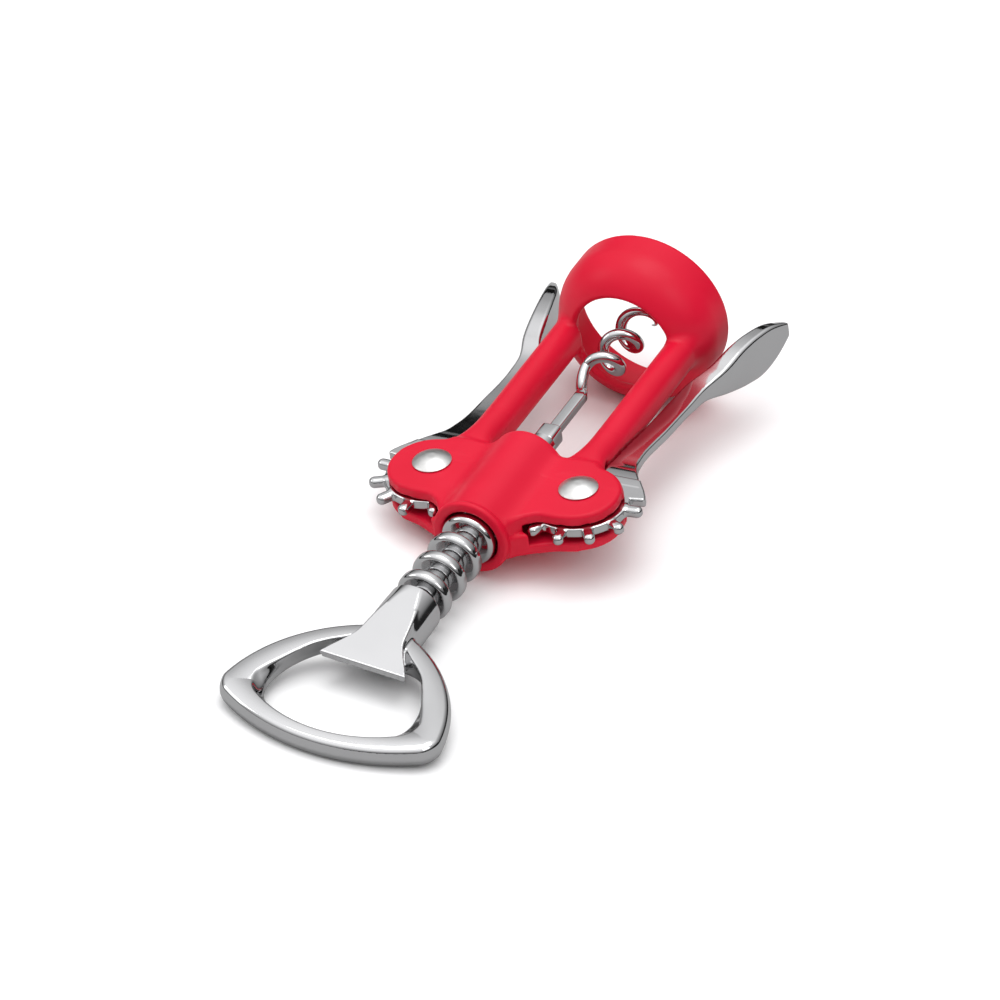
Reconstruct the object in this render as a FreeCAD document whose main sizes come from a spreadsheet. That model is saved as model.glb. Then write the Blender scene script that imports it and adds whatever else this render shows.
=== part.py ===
import FreeCAD, Part
import math
import os
import Sketcher

# Lever corkscrew, lying on its back.
# +Y runs along the spindle from the opener handle to the bottle bell, +Z is up from the flat gears.
# The origin is the centre of the bell's mouth, where the corkscrew seats on a bottle.
# Every piece is drawn about the pivot line, the line through both rivets, and then placed.

Vector = FreeCAD.Vector

sizes = {
    # moulded frame
    "pivot_to_mouth": 72.3,
    "pivot_spacing": 35.0,
    "ear_radius": 9.3,
    "ear_drop": 0.8,
    "face_height": 4.0,
    "back_depth": 5.2,
    "head_bell_side": 9.8,
    "head_handle_side": 15.6,
    "slot_front": 2.1,
    "slot_back": 2.6,
    "slot_clearance": 0.4,
    "sleeve_radius": 8.1,
    "sleeve_bell_end": 11.4,
    "sleeve_handle_end": 18.0,
    "mouth_bead": 0.6,
    "bead_length": 1.4,
    "post_spacing": 27.0,
    "post_radius": 3.4,
    "post_drop": 1.6,
    "bell_radius": 18.9,
    "bell_wall": 1.9,
    "bell_hole_radius": 11.4,
    "bell_rim": 1.9,
    "bell_height": 15.3,
    "bell_straight": 5.8,
    "bore_straight": 7.8,
    # gears and levers
    "gear_teeth": 12.0,
    "rack_pitch": 6.9,
    "gear_thickness": 2.2,
    "tooth_width": 2.5,
    "tooth_height": 3.4,
    "gear_tip_radius": 14.1,
    "first_tooth_angle": 184.0,
    "tooth_count": 7.0,
    "lug_angle": 14.0,
    "lug_radius": 13.9,
    "lever_length": 80.0,
    "arm_outer_edge": 4.9,
    "arm_width": 5.2,
    "arm_clearance": 0.3,
    "arm_set": 5.6,
    "paddle_flare": 10.2,
    "paddle_height": 11.0,
    "paddle_width": 3.6,
    "tip_height": 4.2,
    "tip_width": 1.6,
    # rivets
    "rivet_radius": 2.3,
    "rivet_head_radius": 4.35,
    "rivet_head_height": 1.5,
    "pivot_clearance": 0.06,
    "cap_height": 1.2,
    "cap_seat": 0.6,
    # rack and spindle
    "ring_radius": 6.1,
    "ring_thickness": 3.1,
    "ring_round": 1.1,
    "ring_count": 7.0,
    "first_ring": 0.92,
    "rack_core_radius": 3.0,
    "bore_clearance": 0.3,
    "rod_radius": 1.9,
    "rod_clearance": 0.06,
    "end_play": 0.1,
    # worm
    "ferrule_start": 17.6,
    "ferrule_length": 4.8,
    "ferrule_width": 4.6,
    "ferrule_chamfer": 0.8,
    "rod_seat": 1.6,
    "shank_seat": 2.4,
    "shank_length": 16.0,
    "shank_width": 2.6,
    "shank_thickness": 2.2,
    "wire_radius": 1.25,
    "coil_radius": 3.15,
    "coil_pitch": 9.15,
    "coil_turns": 2.35,
    "coil_angle": 150.0,
    "lead_turns": 0.25,
    "lead_rise": 9.5,
    "point_radius": 0.15,
    "tip_length": 5.5,
    # opener handle
    "neck_start": 43.1,
    "neck_radius": 5.9,
    "neck_length": 12.0,
    "socket_depth": 9.0,
    "lip_distance": 67.4,
    "lip_width": 19.4,
    "tongue_top": 2.95,
    "tongue_thickness": 3.2,
    "loop_thickness": 5.0,
    "loop_end_radius": 54.5,
    "loop_corner_half": 25.8,
    "loop_corner_distance": 86.0,
    "loop_corner_round": 4.5,
    "loop_shoulder_half": 6.6,
    "loop_shoulder_distance": 54.5,
    "loop_side_radius": 39.0,
    "opening_start": 65.2,
    "opening_top_half": 13.2,
    "opening_half": 13.5,
    "opening_distance": 84.4,
    "opening_side_radius": 15.8,
    "opening_end_radius": 25.3,
    "opening_round": 4.5,
    "loop_edge_round": 1.6,
    "handle_turn": 7.7,
    "pin_radius": 1.1,
    "pin_distance": 47.6,
}


def make_sheet(doc):
    """Write the driving sizes into a spreadsheet, one alias each."""
    sheet = doc.addObject("Spreadsheet::Sheet", "Sizes")
    for row, (alias, value) in enumerate(sizes.items(), start=1):
        sheet.set(f"A{row}", alias.replace("_", " "))
        sheet.set(f"B{row}", str(value))
        sheet.setAlias(f"B{row}", alias)
    doc.recompute()
    return sheet


def new_body(doc, name):
    """A body whose pivot line lies behind the bell's mouth."""
    body = doc.addObject("PartDesign::Body", name)
    body.Label = name
    body.setExpression(".Placement.Base.y", "-Sizes.pivot_to_mouth")
    return body


def new_sketch(body, name, role, offset=None):
    """A sketch on one of the body's own planes, moved by offset along the plane's normal."""
    sketch = body.newObject("Sketcher::SketchObject", name)
    plane = next(item for item in body.Origin.OriginFeatures if item.Role == role)
    sketch.AttachmentSupport = [(plane, "")]
    sketch.MapMode = "FlatFace"
    if offset:
        sketch.setExpression(".AttachmentOffset.Base.z", offset)
    return sketch


def value_of(item, text):
    """What an expression in the sheet's aliases is worth now."""
    result = item.evalExpression(text)
    return float(getattr(result, "Value", result))


def fix_point(sketch, geometry, end, across, along):
    """Tie one end of a sketch element to the sheet."""
    for kind, text in (("DistanceX", across), ("DistanceY", along)):
        if text == "0":
            axis = -2 if kind == "DistanceX" else -1
            sketch.addConstraint(Sketcher.Constraint("PointOnObject", geometry, end, axis))
            continue
        index = sketch.addConstraint(
            Sketcher.Constraint(kind, -1, 1, geometry, end, value_of(sketch, text)))
        sketch.setExpression(f"Constraints[{index}]", text)


def arc_crown(first, last, radius, bulge):
    """The middle point of the shorter arc; bulge is 1 to swell right of the way, -1 left."""
    chord = last - first
    side = Vector(chord.y, -chord.x, 0).normalize()
    reach = math.sqrt(max(radius ** 2 - (chord.Length / 2) ** 2, 0.0))
    return (first + last) * 0.5 + side * bulge * (radius - reach)


def outline(sketch, corners):
    """A closed outline. A corner is (x, y), or (x, y, radius, bulge) when an arc leads to it."""
    spots = [Vector(value_of(sketch, c[0]), value_of(sketch, c[1]), 0) for c in corners]
    ends = []
    for index, corner in enumerate(corners):
        start, stop = spots[index - 1], spots[index]
        if len(corner) == 2:
            geometry = sketch.addGeometry(Part.LineSegment(start, stop), False)
            ends.append((geometry, 1, 2))
            continue
        radius = value_of(sketch, corner[2])
        crown = arc_crown(start, stop, radius, corner[3])
        if corner[3] > 0:
            geometry = sketch.addGeometry(Part.Arc(start, crown, stop), False)
            ends.append((geometry, 1, 2))
        else:
            geometry = sketch.addGeometry(Part.Arc(stop, crown, start), False)
            ends.append((geometry, 2, 1))
        tie = sketch.addConstraint(Sketcher.Constraint("Radius", geometry, radius))
        sketch.setExpression(f"Constraints[{tie}]", corner[2])
    for index, corner in enumerate(corners):
        geometry, _, last = ends[index]
        following, first, _ = ends[(index + 1) % len(corners)]
        sketch.addConstraint(Sketcher.Constraint("Coincident", geometry, last, following, first))
        fix_point(sketch, geometry, last, corner[0], corner[1])


def circle(sketch, across, along, radius):
    spot = Vector(value_of(sketch, across), value_of(sketch, along), 0)
    geometry = sketch.addGeometry(
        Part.Circle(spot, Vector(0, 0, 1), value_of(sketch, radius)), False)
    fix_point(sketch, geometry, 3, across, along)
    tie = sketch.addConstraint(Sketcher.Constraint("Radius", geometry, value_of(sketch, radius)))
    sketch.setExpression(f"Constraints[{tie}]", radius)


def rectangle(sketch, left, bottom, right, top):
    outline(sketch, [(left, bottom), (right, bottom), (right, top), (left, top)])


def mirrored(corners):
    """A half outline from the axis' one side, completed on the other side in reverse order."""
    return corners + [(f"-({c[0]})",) + tuple(c[1:]) for c in reversed(corners)]


def feature(body, kind, name, sketch, **settings):
    made = body.newObject("PartDesign::" + kind, name)
    made.Profile = sketch
    for prop, setting in settings.items():
        if isinstance(setting, str) and setting.startswith("="):
            made.setExpression(prop, setting[1:])
        else:
            setattr(made, prop, setting)
    body.Document.recompute()
    return made


def pad(body, name, sketch, length):
    return feature(body, "Pad", name, sketch, Length="=" + length, SideType="Symmetric")


def pocket(body, name, sketch, length):
    return feature(body, "Pocket", name, sketch, Length="=" + length, SideType="Symmetric")


def spin(body, name, sketch, kind="Revolution"):
    """Turn a sketch a full turn about its own upright axis."""
    return feature(body, kind, name, sketch, ReferenceAxis=(sketch, ["V_Axis"]), Angle=360.0)


def round_edges(body, name, wanted, radius):
    """Fillet every edge of the body that the test picks."""
    base = body.Tip
    names = [f"Edge{n}" for n, edge in enumerate(base.Shape.Edges, start=1) if wanted(edge)]
    made = body.newObject("PartDesign::Fillet", name)
    made.Base = (base, names)
    made.setExpression("Radius", radius)
    body.Document.recompute()
    return made


PIVOT = "Sizes.pivot_spacing / 2"
SLOT_RADIUS = "(Sizes.gear_tip_radius + Sizes.slot_clearance)"
BELL_START = "(Sizes.pivot_to_mouth - Sizes.bell_height)"
BORE_RADIUS = "(Sizes.bell_radius - Sizes.bell_wall)"
# The arm's outer edge from its pivot, far enough out for its inner edge to clear the post.
ARM_EDGE = ("max(Sizes.arm_outer_edge; Sizes.post_spacing / 2 + Sizes.post_radius"
            f" + Sizes.arm_clearance + Sizes.arm_width - {PIVOT})")
# The first ring from the pivot line: half a pitch on from the middle of the tooth below it.
FIRST_RING = "(Sizes.rack_pitch / 2 - Sizes.first_ring)"


def dome_radius(run, rise):
    """Radius of an arc that starts run inside and rise below its upright end."""
    return f"(({run})^2 + ({rise})^2) / (2 * ({run}))"


def make_frame(doc):
    """The moulded frame: two ear plates, a sleeve for the rack, two posts and the bell."""
    body = new_body(doc, "frame")
    thickness = "Sizes.face_height + Sizes.back_depth"
    middle = "(Sizes.face_height - Sizes.back_depth) / 2"
    head = new_sketch(body, "head_outline", "XY_Plane", middle)
    outline(head, mirrored([
        ("Sizes.sleeve_radius + 0.9", "-Sizes.head_handle_side"),
        (f"{PIVOT} + Sizes.ear_radius * 0.45", "-(Sizes.ear_radius * 0.893 + Sizes.ear_drop)"),
        (f"{PIVOT} + Sizes.ear_radius * 0.3", "Sizes.ear_radius * 0.954 - Sizes.ear_drop"),
        ("(Sizes.post_spacing / 2 + Sizes.post_radius)", "Sizes.head_bell_side"),
    ]))
    pad(body, "head", head, thickness)
    ears = new_sketch(body, "ear_circles", "XY_Plane", middle)
    for side in ("", "-"):
        circle(ears, side + PIVOT, "-Sizes.ear_drop", "Sizes.ear_radius")
    pad(body, "ears", ears, thickness)

    sleeve = new_sketch(body, "sleeve_profile", "XY_Plane")
    bead = "Sizes.sleeve_radius + Sizes.mouth_bead"
    bead_top = "-(Sizes.sleeve_handle_end - Sizes.bead_length)"
    outline(sleeve, [
        ("0", "-Sizes.sleeve_handle_end"), (bead, "-Sizes.sleeve_handle_end"),
        (bead, bead_top), ("Sizes.sleeve_radius", bead_top),
        ("Sizes.sleeve_radius", "Sizes.sleeve_bell_end"), ("0", "Sizes.sleeve_bell_end")])
    spin(body, "sleeve", sleeve)

    posts = new_sketch(body, "post_sections", "XZ_Plane", "-(Sizes.head_bell_side - Sizes.post_radius)")
    for side in ("", "-"):
        centre = side + "Sizes.post_spacing / 2"
        outline(posts, [
            (centre + " + Sizes.post_radius", "0"),
            (centre + " - Sizes.post_radius", "0", "Sizes.post_radius", 1),
            (centre + " - Sizes.post_radius", "-Sizes.post_drop"),
            (centre + " + Sizes.post_radius", "-Sizes.post_drop", "Sizes.post_radius", 1)])
    reach = f"{BELL_START} + Sizes.bell_height / 2 - Sizes.head_bell_side + Sizes.post_radius"
    feature(body, "Pad", "posts", posts, Length="=" + reach, Reversed=True)

    bell = new_sketch(body, "bell_profile", "XY_Plane")
    rim = "(Sizes.bell_hole_radius + Sizes.bell_rim)"
    shoulder = "(Sizes.pivot_to_mouth - Sizes.bell_straight)"
    outline(bell, [
        ("0", BELL_START), (rim, BELL_START),
        ("Sizes.bell_radius", shoulder,
         dome_radius(f"Sizes.bell_radius - {rim}", f"{shoulder} - {BELL_START}"), 1),
        ("Sizes.bell_radius", "Sizes.pivot_to_mouth"), ("0", "Sizes.pivot_to_mouth")])
    spin(body, "bell", bell)

    cavity = new_sketch(body, "bell_cavity_profile", "XY_Plane")
    lip = f"({BELL_START} + Sizes.bell_wall * 0.6)"
    seat = "(Sizes.pivot_to_mouth - Sizes.bore_straight)"
    outline(cavity, [
        ("0", BELL_START), ("Sizes.bell_hole_radius", BELL_START), ("Sizes.bell_hole_radius", lip),
        (BORE_RADIUS, seat,
         dome_radius(f"{BORE_RADIUS} - Sizes.bell_hole_radius", f"{seat} - {lip}"), 1),
        (BORE_RADIUS, "Sizes.pivot_to_mouth"), ("0", "Sizes.pivot_to_mouth")])
    spin(body, "bell_cavity", cavity, "Groove")

    bore = new_sketch(body, "rack_bore_profile", "XY_Plane")
    rectangle(bore, "0", "-Sizes.sleeve_handle_end",
              "Sizes.ring_radius + Sizes.bore_clearance", "Sizes.sleeve_bell_end")
    spin(body, "rack_bore", bore, "Groove")

    slots = new_sketch(body, "gear_slots", "XY_Plane", "(Sizes.slot_front - Sizes.slot_back) / 2")
    for side in ("", "-"):
        circle(slots, side + PIVOT, "0", SLOT_RADIUS)
    pocket(body, "gear_slot", slots, "Sizes.slot_front + Sizes.slot_back")
    holes = new_sketch(body, "rivet_holes", "XY_Plane")
    for side in ("", "-"):
        circle(holes, side + PIVOT, "0", "Sizes.rivet_radius")
    pocket(body, "rivet_hole", holes, "(Sizes.face_height + Sizes.back_depth) * 2")
    return body


def make_rivet(doc, name, side):
    """A domed rivet with its shank through both ear plates and the gear."""
    body = new_body(doc, name)
    body.setExpression(".Placement.Base.x", side + PIVOT)
    profile = new_sketch(body, name + "_profile", "XZ_Plane")
    face = "Sizes.face_height"
    foot = "-(Sizes.back_depth + Sizes.cap_seat)"
    crown = "(Sizes.rivet_head_radius^2 + Sizes.rivet_head_height^2) / (2 * Sizes.rivet_head_height)"
    outline(profile, [
        ("0", foot), ("Sizes.rivet_radius", foot), ("Sizes.rivet_radius", face),
        ("Sizes.rivet_head_radius", face), ("0", face + " + Sizes.rivet_head_height", crown, 1)])
    spin(body, name + "_turned", profile)
    return body


def make_cap(doc, name, side):
    """The closing head pressed onto the rivet's end behind the frame."""
    body = new_body(doc, name)
    body.setExpression(".Placement.Base.x", side + PIVOT)
    profile = new_sketch(body, name + "_profile", "XZ_Plane")
    face = "-Sizes.back_depth"
    seat = "-(Sizes.back_depth + Sizes.cap_seat)"
    back = "-(Sizes.back_depth + Sizes.cap_height)"
    outline(profile, [
        ("0", back), ("Sizes.rivet_head_radius - 0.5", back), ("Sizes.rivet_head_radius", seat),
        ("Sizes.rivet_head_radius", face), ("Sizes.rivet_radius", face),
        ("Sizes.rivet_radius", seat), ("0", seat)])
    spin(body, name + "_turned", profile)
    return body


# Stations along a lever arm: distance from the pivot as a share of the lever's length,
# then the centre's offset, the set to the back, the width and the height.
arm_stations = [
    (0.14, ARM_EDGE + " + 1.2 - Sizes.arm_width / 2", "0",
     "Sizes.arm_width + 2.4", "Sizes.gear_thickness"),
    (0.24, ARM_EDGE + " + 0.5 - Sizes.arm_width / 2", "0.27",
     "Sizes.arm_width + 0.6", "Sizes.gear_thickness"),
    (0.42, ARM_EDGE + " - Sizes.arm_width / 2", "0.62",
     "Sizes.arm_width", "Sizes.gear_thickness"),
    (0.60, ARM_EDGE + " - Sizes.arm_width / 2", "0.86",
     "Sizes.arm_width", "Sizes.gear_thickness * 1.2"),
    (0.74, "Sizes.paddle_flare * 0.55", "1",
     "Sizes.paddle_width * 1.15", "Sizes.paddle_height * 0.7"),
    (0.87, "Sizes.paddle_flare * 0.82", "1.05",
     "Sizes.paddle_width", "Sizes.paddle_height"),
    (1.00, "Sizes.paddle_flare", "1", "Sizes.tip_width", "Sizes.tip_height"),
]


def make_lever(doc, name):
    """One lever: a flat toothed gear with a slim arm that grows into an upright paddle."""
    body = new_body(doc, name)
    body.setExpression(".Placement.Base.x", PIVOT)
    root = "Sizes.gear_tip_radius - Sizes.tooth_height"
    hub = new_sketch(body, "gear_root", "XY_Plane")
    circle(hub, "0", "0", root)
    pad(body, "gear_disc", hub, "Sizes.gear_thickness")

    neck = new_sketch(body, "arm_root", "XY_Plane")
    lug_across = "Sizes.lug_radius * cos(Sizes.lug_angle)"
    lug_along = "Sizes.lug_radius * sin(Sizes.lug_angle)"
    start = "Sizes.lever_length * 0.15"
    outline(neck, [
        (ARM_EDGE + " - Sizes.arm_width - 1.2", "Sizes.ear_radius * 0.6"),
        (f"{root} - 2", "1.2"),
        ("Sizes.lug_radius - 0.4", "2.2"),
        (lug_across, lug_along),
        (ARM_EDGE + " + 2.4", start, "Sizes.gear_tip_radius", -1),
        (ARM_EDGE + " - Sizes.arm_width", start)])
    pad(body, "arm_root_plate", neck, "Sizes.gear_thickness")

    tooth = new_sketch(body, "tooth_outline", "XY_Plane")
    tooth.setExpression(".AttachmentOffset.Rotation.Angle", "Sizes.first_tooth_angle")
    half = "Sizes.tooth_width / 2"
    shoulder = f"(Sizes.gear_tip_radius - {half})"
    outline(tooth, [
        (f"{root} - 3", f"-{half}"), (shoulder, f"-{half}"),
        (shoulder, half, "Sizes.tooth_width * 0.52", 1), (f"{root} - 3", half)])
    first = pad(body, "tooth", tooth, "Sizes.gear_thickness")
    ring = body.newObject("PartDesign::PolarPattern", "teeth")
    ring.Originals = [first]
    ring.Axis = (next(item for item in body.Origin.OriginFeatures if item.Role == "Z_Axis"), [""])
    ring.setExpression("Angle", "(Sizes.tooth_count - 1) * 360 / Sizes.gear_teeth")
    ring.setExpression("Occurrences", "Sizes.tooth_count")
    body.Tip = ring
    doc.recompute()

    sections = []
    for number, (share, across, drop, width, height) in enumerate(arm_stations, start=1):
        section = new_sketch(body, f"arm_section_{number}", "XZ_Plane",
                             f"-Sizes.lever_length * {share}")
        level = f"-Sizes.arm_set * {drop}"
        rectangle(section, f"{across} - ({width}) / 2", f"{level} - ({height}) / 2",
                  f"{across} + ({width}) / 2", f"{level} + ({height}) / 2")
        sections.append(section)
    arm = body.newObject("PartDesign::AdditiveLoft", "arm")
    arm.Profile = sections[0]
    arm.Sections = sections[1:]
    doc.recompute()

    eye = new_sketch(body, "pivot_eye", "XY_Plane")
    circle(eye, "0", "0", "Sizes.rivet_radius + Sizes.pivot_clearance")
    pocket(body, "pivot_hole", eye, "Sizes.gear_thickness * 3")
    return body


def make_mirrored_lever(doc, name, lever):
    """The other lever, the same lever seen in the frame's middle plane."""
    copy = doc.addObject("Part::Mirroring", name)
    copy.Label = name
    copy.Source = lever
    copy.Normal = Vector(1, 0, 0)
    doc.recompute()
    return copy


def make_rack(doc):
    """The ringed rack: round discs on a tube, so that it meshes however it is turned."""
    body = new_body(doc, "rack_sleeve")
    core = new_sketch(body, "rack_core_profile", "XY_Plane")
    rectangle(core, "0", "-(Sizes.neck_start - Sizes.end_play)",
              "Sizes.rack_core_radius", "Sizes.ferrule_start - Sizes.end_play")
    spin(body, "rack_core", core)
    ring = new_sketch(body, "ring_profile", "XY_Plane")
    half = "Sizes.ring_thickness / 2"
    edge = "(Sizes.ring_radius - Sizes.ring_round)"
    flat = f"({half} - Sizes.ring_round)"
    outline(ring, [
        ("0", f"{FIRST_RING} - {half}"), (edge, f"{FIRST_RING} - {half}"),
        ("Sizes.ring_radius", f"{FIRST_RING} - {flat}", "Sizes.ring_round", 1),
        ("Sizes.ring_radius", f"{FIRST_RING} + {flat}"),
        (edge, f"{FIRST_RING} + {half}", "Sizes.ring_round", 1),
        ("0", f"{FIRST_RING} + {half}")])
    first = spin(body, "ring", ring)
    row = body.newObject("PartDesign::LinearPattern", "rings")
    row.Originals = [first]
    row.Direction = (ring, ["V_Axis"])
    row.Reversed = True
    row.setExpression("Length", "(Sizes.ring_count - 1) * Sizes.rack_pitch")
    row.setExpression("Occurrences", "Sizes.ring_count")
    body.Tip = row
    doc.recompute()
    bore = new_sketch(body, "rod_bore_profile", "XY_Plane")
    rectangle(bore, "0", "-(Sizes.neck_start - Sizes.end_play)",
              "Sizes.rod_radius + Sizes.rod_clearance", "Sizes.ferrule_start - Sizes.end_play")
    spin(body, "rod_bore", bore, "Groove")
    return body


def make_rod(doc):
    """The plain rod that carries the rack between the handle's neck and the ferrule."""
    body = turned_body(doc, "spindle_rod")
    profile = new_sketch(body, "rod_profile", "XY_Plane")
    rectangle(profile, "0", "-(Sizes.neck_start + Sizes.socket_depth)",
              "Sizes.rod_radius", "Sizes.ferrule_start + Sizes.rod_seat")
    spin(body, "rod", profile)
    cross = new_sketch(body, "rod_pin_hole", "XY_Plane")
    circle(cross, "0", "-Sizes.pin_distance", "Sizes.pin_radius")
    pocket(body, "rod_pin", cross, "Sizes.neck_radius * 3")
    return body


def make_ferrule(doc):
    """The square collar that joins the rod's end to the worm's flattened shank."""
    body = new_body(doc, "worm_ferrule")
    block = new_sketch(body, "ferrule_outline", "XZ_Plane", "-Sizes.ferrule_start")
    half = "Sizes.ferrule_width / 2"
    cut = f"({half} - Sizes.ferrule_chamfer)"
    corners = [(half, f"-{cut}"), (half, cut), (cut, half)]
    outline(block, [(cut, f"-({half})")] + corners
            + [(f"-{cut}", half), (f"-({half})", cut), (f"-({half})", f"-{cut}"),
               (f"-{cut}", f"-({half})")])
    feature(body, "Pad", "ferrule_block", block, Length="=Sizes.ferrule_length", Reversed=True)
    seat = new_sketch(body, "rod_seat_circle", "XZ_Plane", "-Sizes.ferrule_start")
    circle(seat, "0", "0", "Sizes.rod_radius")
    feature(body, "Pocket", "rod_seat", seat, Length="=Sizes.rod_seat")
    end = "-(Sizes.ferrule_start + Sizes.ferrule_length)"
    socket = new_sketch(body, "shank_seat_outline", "XZ_Plane", end)
    rectangle(socket, "-Sizes.shank_width / 2", "-Sizes.shank_thickness / 2",
              "Sizes.shank_width / 2", "Sizes.shank_thickness / 2")
    feature(body, "Pocket", "shank_seat", socket, Length="=Sizes.shank_seat", Reversed=True)
    return body


def coil_path(size):
    """The wire's centre line: it leaves the axis over a quarter turn, then coils right-handed."""
    begin = size.ferrule_start + size.ferrule_length - size.shank_seat + size.shank_length
    buried = size.wire_radius * 2.4
    points = [Vector(0, begin - buried, 0), Vector(0, begin - buried / 2, 0)]
    steps_per_turn = 16
    lead_steps = round(size.lead_turns * steps_per_turn)
    coil_steps = round(size.coil_turns * steps_per_turn)
    for step in range(lead_steps + coil_steps + 1):
        share = min(step / lead_steps, 1.0)
        radius = size.coil_radius * (3 * share ** 2 - 2 * share ** 3)
        angle = math.radians(size.coil_angle) - 2 * math.pi * (step - lead_steps) / steps_per_turn
        coiled = max(step - lead_steps, 0) / steps_per_turn
        rise = size.lead_rise * share + size.coil_pitch * coiled
        points.append(Vector(radius * math.cos(angle), begin + rise, radius * math.sin(angle)))
    return points


def make_worm(doc, size):
    """The worm: a flattened shank, three open coils of round wire and a sharp point."""
    width, thickness = size.shank_width, size.shank_thickness
    start = size.ferrule_start + size.ferrule_length - size.shank_seat
    corner = Vector(-width / 2, start, -thickness / 2)
    shank = Part.makeBox(width, size.shank_length - size.wire_radius / 3, thickness, corner)
    points = coil_path(size)
    path = Part.BSplineCurve()
    path.interpolate(points)
    spine = Part.Wire([path.toShape()])
    section = Part.Wire([Part.makeCircle(size.wire_radius, points[0], path.tangent(0)[0])])
    coil = spine.makePipeShell([section], True, False)
    away = path.tangent(path.LastParameter)[0]
    point = Part.makeCone(size.wire_radius, size.point_radius, size.tip_length, points[-1], away)
    worm = doc.addObject("Part::Feature", "worm")
    worm.Label = "worm"
    worm.Shape = shank.fuse([coil, point]).removeSplitter()
    worm.setExpression(".Placement.Base.y", "-Sizes.pivot_to_mouth")
    return worm


def turned_body(doc, name):
    """The handle and its pin lie turned about the spindle, flat on the table the bell leans on."""
    body = new_body(doc, name)
    body.Placement = FreeCAD.Placement(body.Placement.Base, FreeCAD.Rotation(Vector(0, 1, 0), 1))
    body.setExpression(".Placement.Rotation.Angle", "Sizes.handle_turn")
    return body


def upright_edge_at(across, along):
    """A test for the upright edge through a point of the handle's outline."""
    def wanted(edge):
        box = edge.BoundBox
        upright = box.ZLength > 1 and box.XLength < 0.01 and box.YLength < 0.01
        return upright and abs(abs(box.XMin) - across) < 0.05 and abs(box.YMin - along) < 0.05
    return wanted


def make_handle(doc):
    """The cast handle: a round neck, a flat fan with the prising lip, and the opener's loop."""
    body = turned_body(doc, "opener_handle")
    loop = new_sketch(body, "loop_outline", "XY_Plane")
    outline(loop, [
        ("-Sizes.loop_shoulder_half", "-Sizes.loop_shoulder_distance"),
        ("-Sizes.loop_corner_half", "-Sizes.loop_corner_distance", "Sizes.loop_side_radius", 1),
        ("Sizes.loop_corner_half", "-Sizes.loop_corner_distance", "Sizes.loop_end_radius", 1),
        ("Sizes.loop_shoulder_half", "-Sizes.loop_shoulder_distance", "Sizes.loop_side_radius", 1)])
    pad(body, "loop", loop, "Sizes.loop_thickness")
    half, along = value_of(body, "Sizes.loop_corner_half"), value_of(body, "Sizes.loop_corner_distance")
    round_edges(body, "loop_corners", upright_edge_at(half, -along), "Sizes.loop_corner_round")
    round_edges(body, "loop_rim", is_flat_rim, "Sizes.loop_edge_round")

    opening = new_sketch(body, "opening_outline", "XY_Plane")
    across, down = "Sizes.opening_half", "-Sizes.opening_distance"
    top = "-Sizes.opening_start"
    outline(opening, [
        ("-Sizes.opening_top_half", top), (f"-{across}", down, "Sizes.opening_side_radius", 1),
        (across, down, "Sizes.opening_end_radius", 1),
        ("Sizes.opening_top_half", top, "Sizes.opening_side_radius", 1)])
    pocket(body, "opening", opening, "Sizes.loop_thickness + 2")
    half, along = value_of(body, across), value_of(body, down)
    round_edges(body, "opening_corners", upright_edge_at(half, along), "Sizes.opening_round")

    fan = new_sketch(body, "fan_outline", "XY_Plane", "Sizes.tongue_top - Sizes.tongue_thickness")
    outline(fan, [
        ("-Sizes.neck_radius * 0.8", "-(Sizes.neck_start + Sizes.neck_length / 2)"),
        ("-Sizes.lip_width / 2", "-Sizes.lip_distance"), ("Sizes.lip_width / 2", "-Sizes.lip_distance"),
        ("Sizes.neck_radius * 0.8", "-(Sizes.neck_start + Sizes.neck_length / 2)")])
    feature(body, "Pad", "fan", fan, Length="=Sizes.tongue_thickness")

    neck = new_sketch(body, "neck_profile", "XY_Plane")
    outline(neck, [
        ("0", "-(Sizes.neck_start + Sizes.neck_length)"),
        ("Sizes.neck_radius * 0.75", "-(Sizes.neck_start + Sizes.neck_length)"),
        ("Sizes.neck_radius", "-Sizes.neck_start"), ("0", "-Sizes.neck_start")])
    spin(body, "neck", neck)
    socket = new_sketch(body, "rod_socket_profile", "XY_Plane")
    rectangle(socket, "0", "-(Sizes.neck_start + Sizes.socket_depth)",
              "Sizes.rod_radius", "-Sizes.neck_start")
    spin(body, "rod_socket", socket, "Groove")
    cross = new_sketch(body, "neck_pin_circle", "XY_Plane")
    circle(cross, "0", "-Sizes.pin_distance", "Sizes.pin_radius")
    pocket(body, "neck_pin_hole", cross, "Sizes.neck_radius * 3")
    return body


def is_flat_rim(edge):
    """True for the edges that run round the handle's upper and lower faces."""
    box = edge.BoundBox
    return box.ZLength < 0.01 and edge.Length > 1


def make_pin(doc):
    """The cross pin that locks the rod in the handle's neck."""
    body = turned_body(doc, "handle_pin")
    section = new_sketch(body, "pin_outline", "XY_Plane")
    circle(section, "0", "-Sizes.pin_distance", "Sizes.pin_radius")
    pad(body, "pin", section, "Sizes.neck_radius * 1.75")
    return body


def export(doc, pieces):
    """Stop on any failed object, then write one file per piece."""
    doc.recompute()
    failed = [item.Name for item in doc.Objects if "Invalid" in item.State or "Error" in item.State]
    if failed:
        raise RuntimeError("failed: " + ", ".join(failed))
    for piece in pieces:
        if piece.Shape.isNull() or not piece.Shape.isValid():
            raise RuntimeError("bad shape: " + piece.Label)
    os.makedirs("parts", exist_ok=True)
    for piece in pieces:
        piece.Shape.exportStep(os.path.join("parts", piece.Label + ".step"))
        box = piece.Shape.BoundBox
        print(f"{piece.Label:20s} volume {piece.Shape.Volume:9.1f}  solids {len(piece.Shape.Solids)}"
              f"  x {box.XMin:7.2f} {box.XMax:7.2f}  y {box.YMin:7.2f} {box.YMax:7.2f}"
              f"  z {box.ZMin:7.2f} {box.ZMax:7.2f}")


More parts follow.
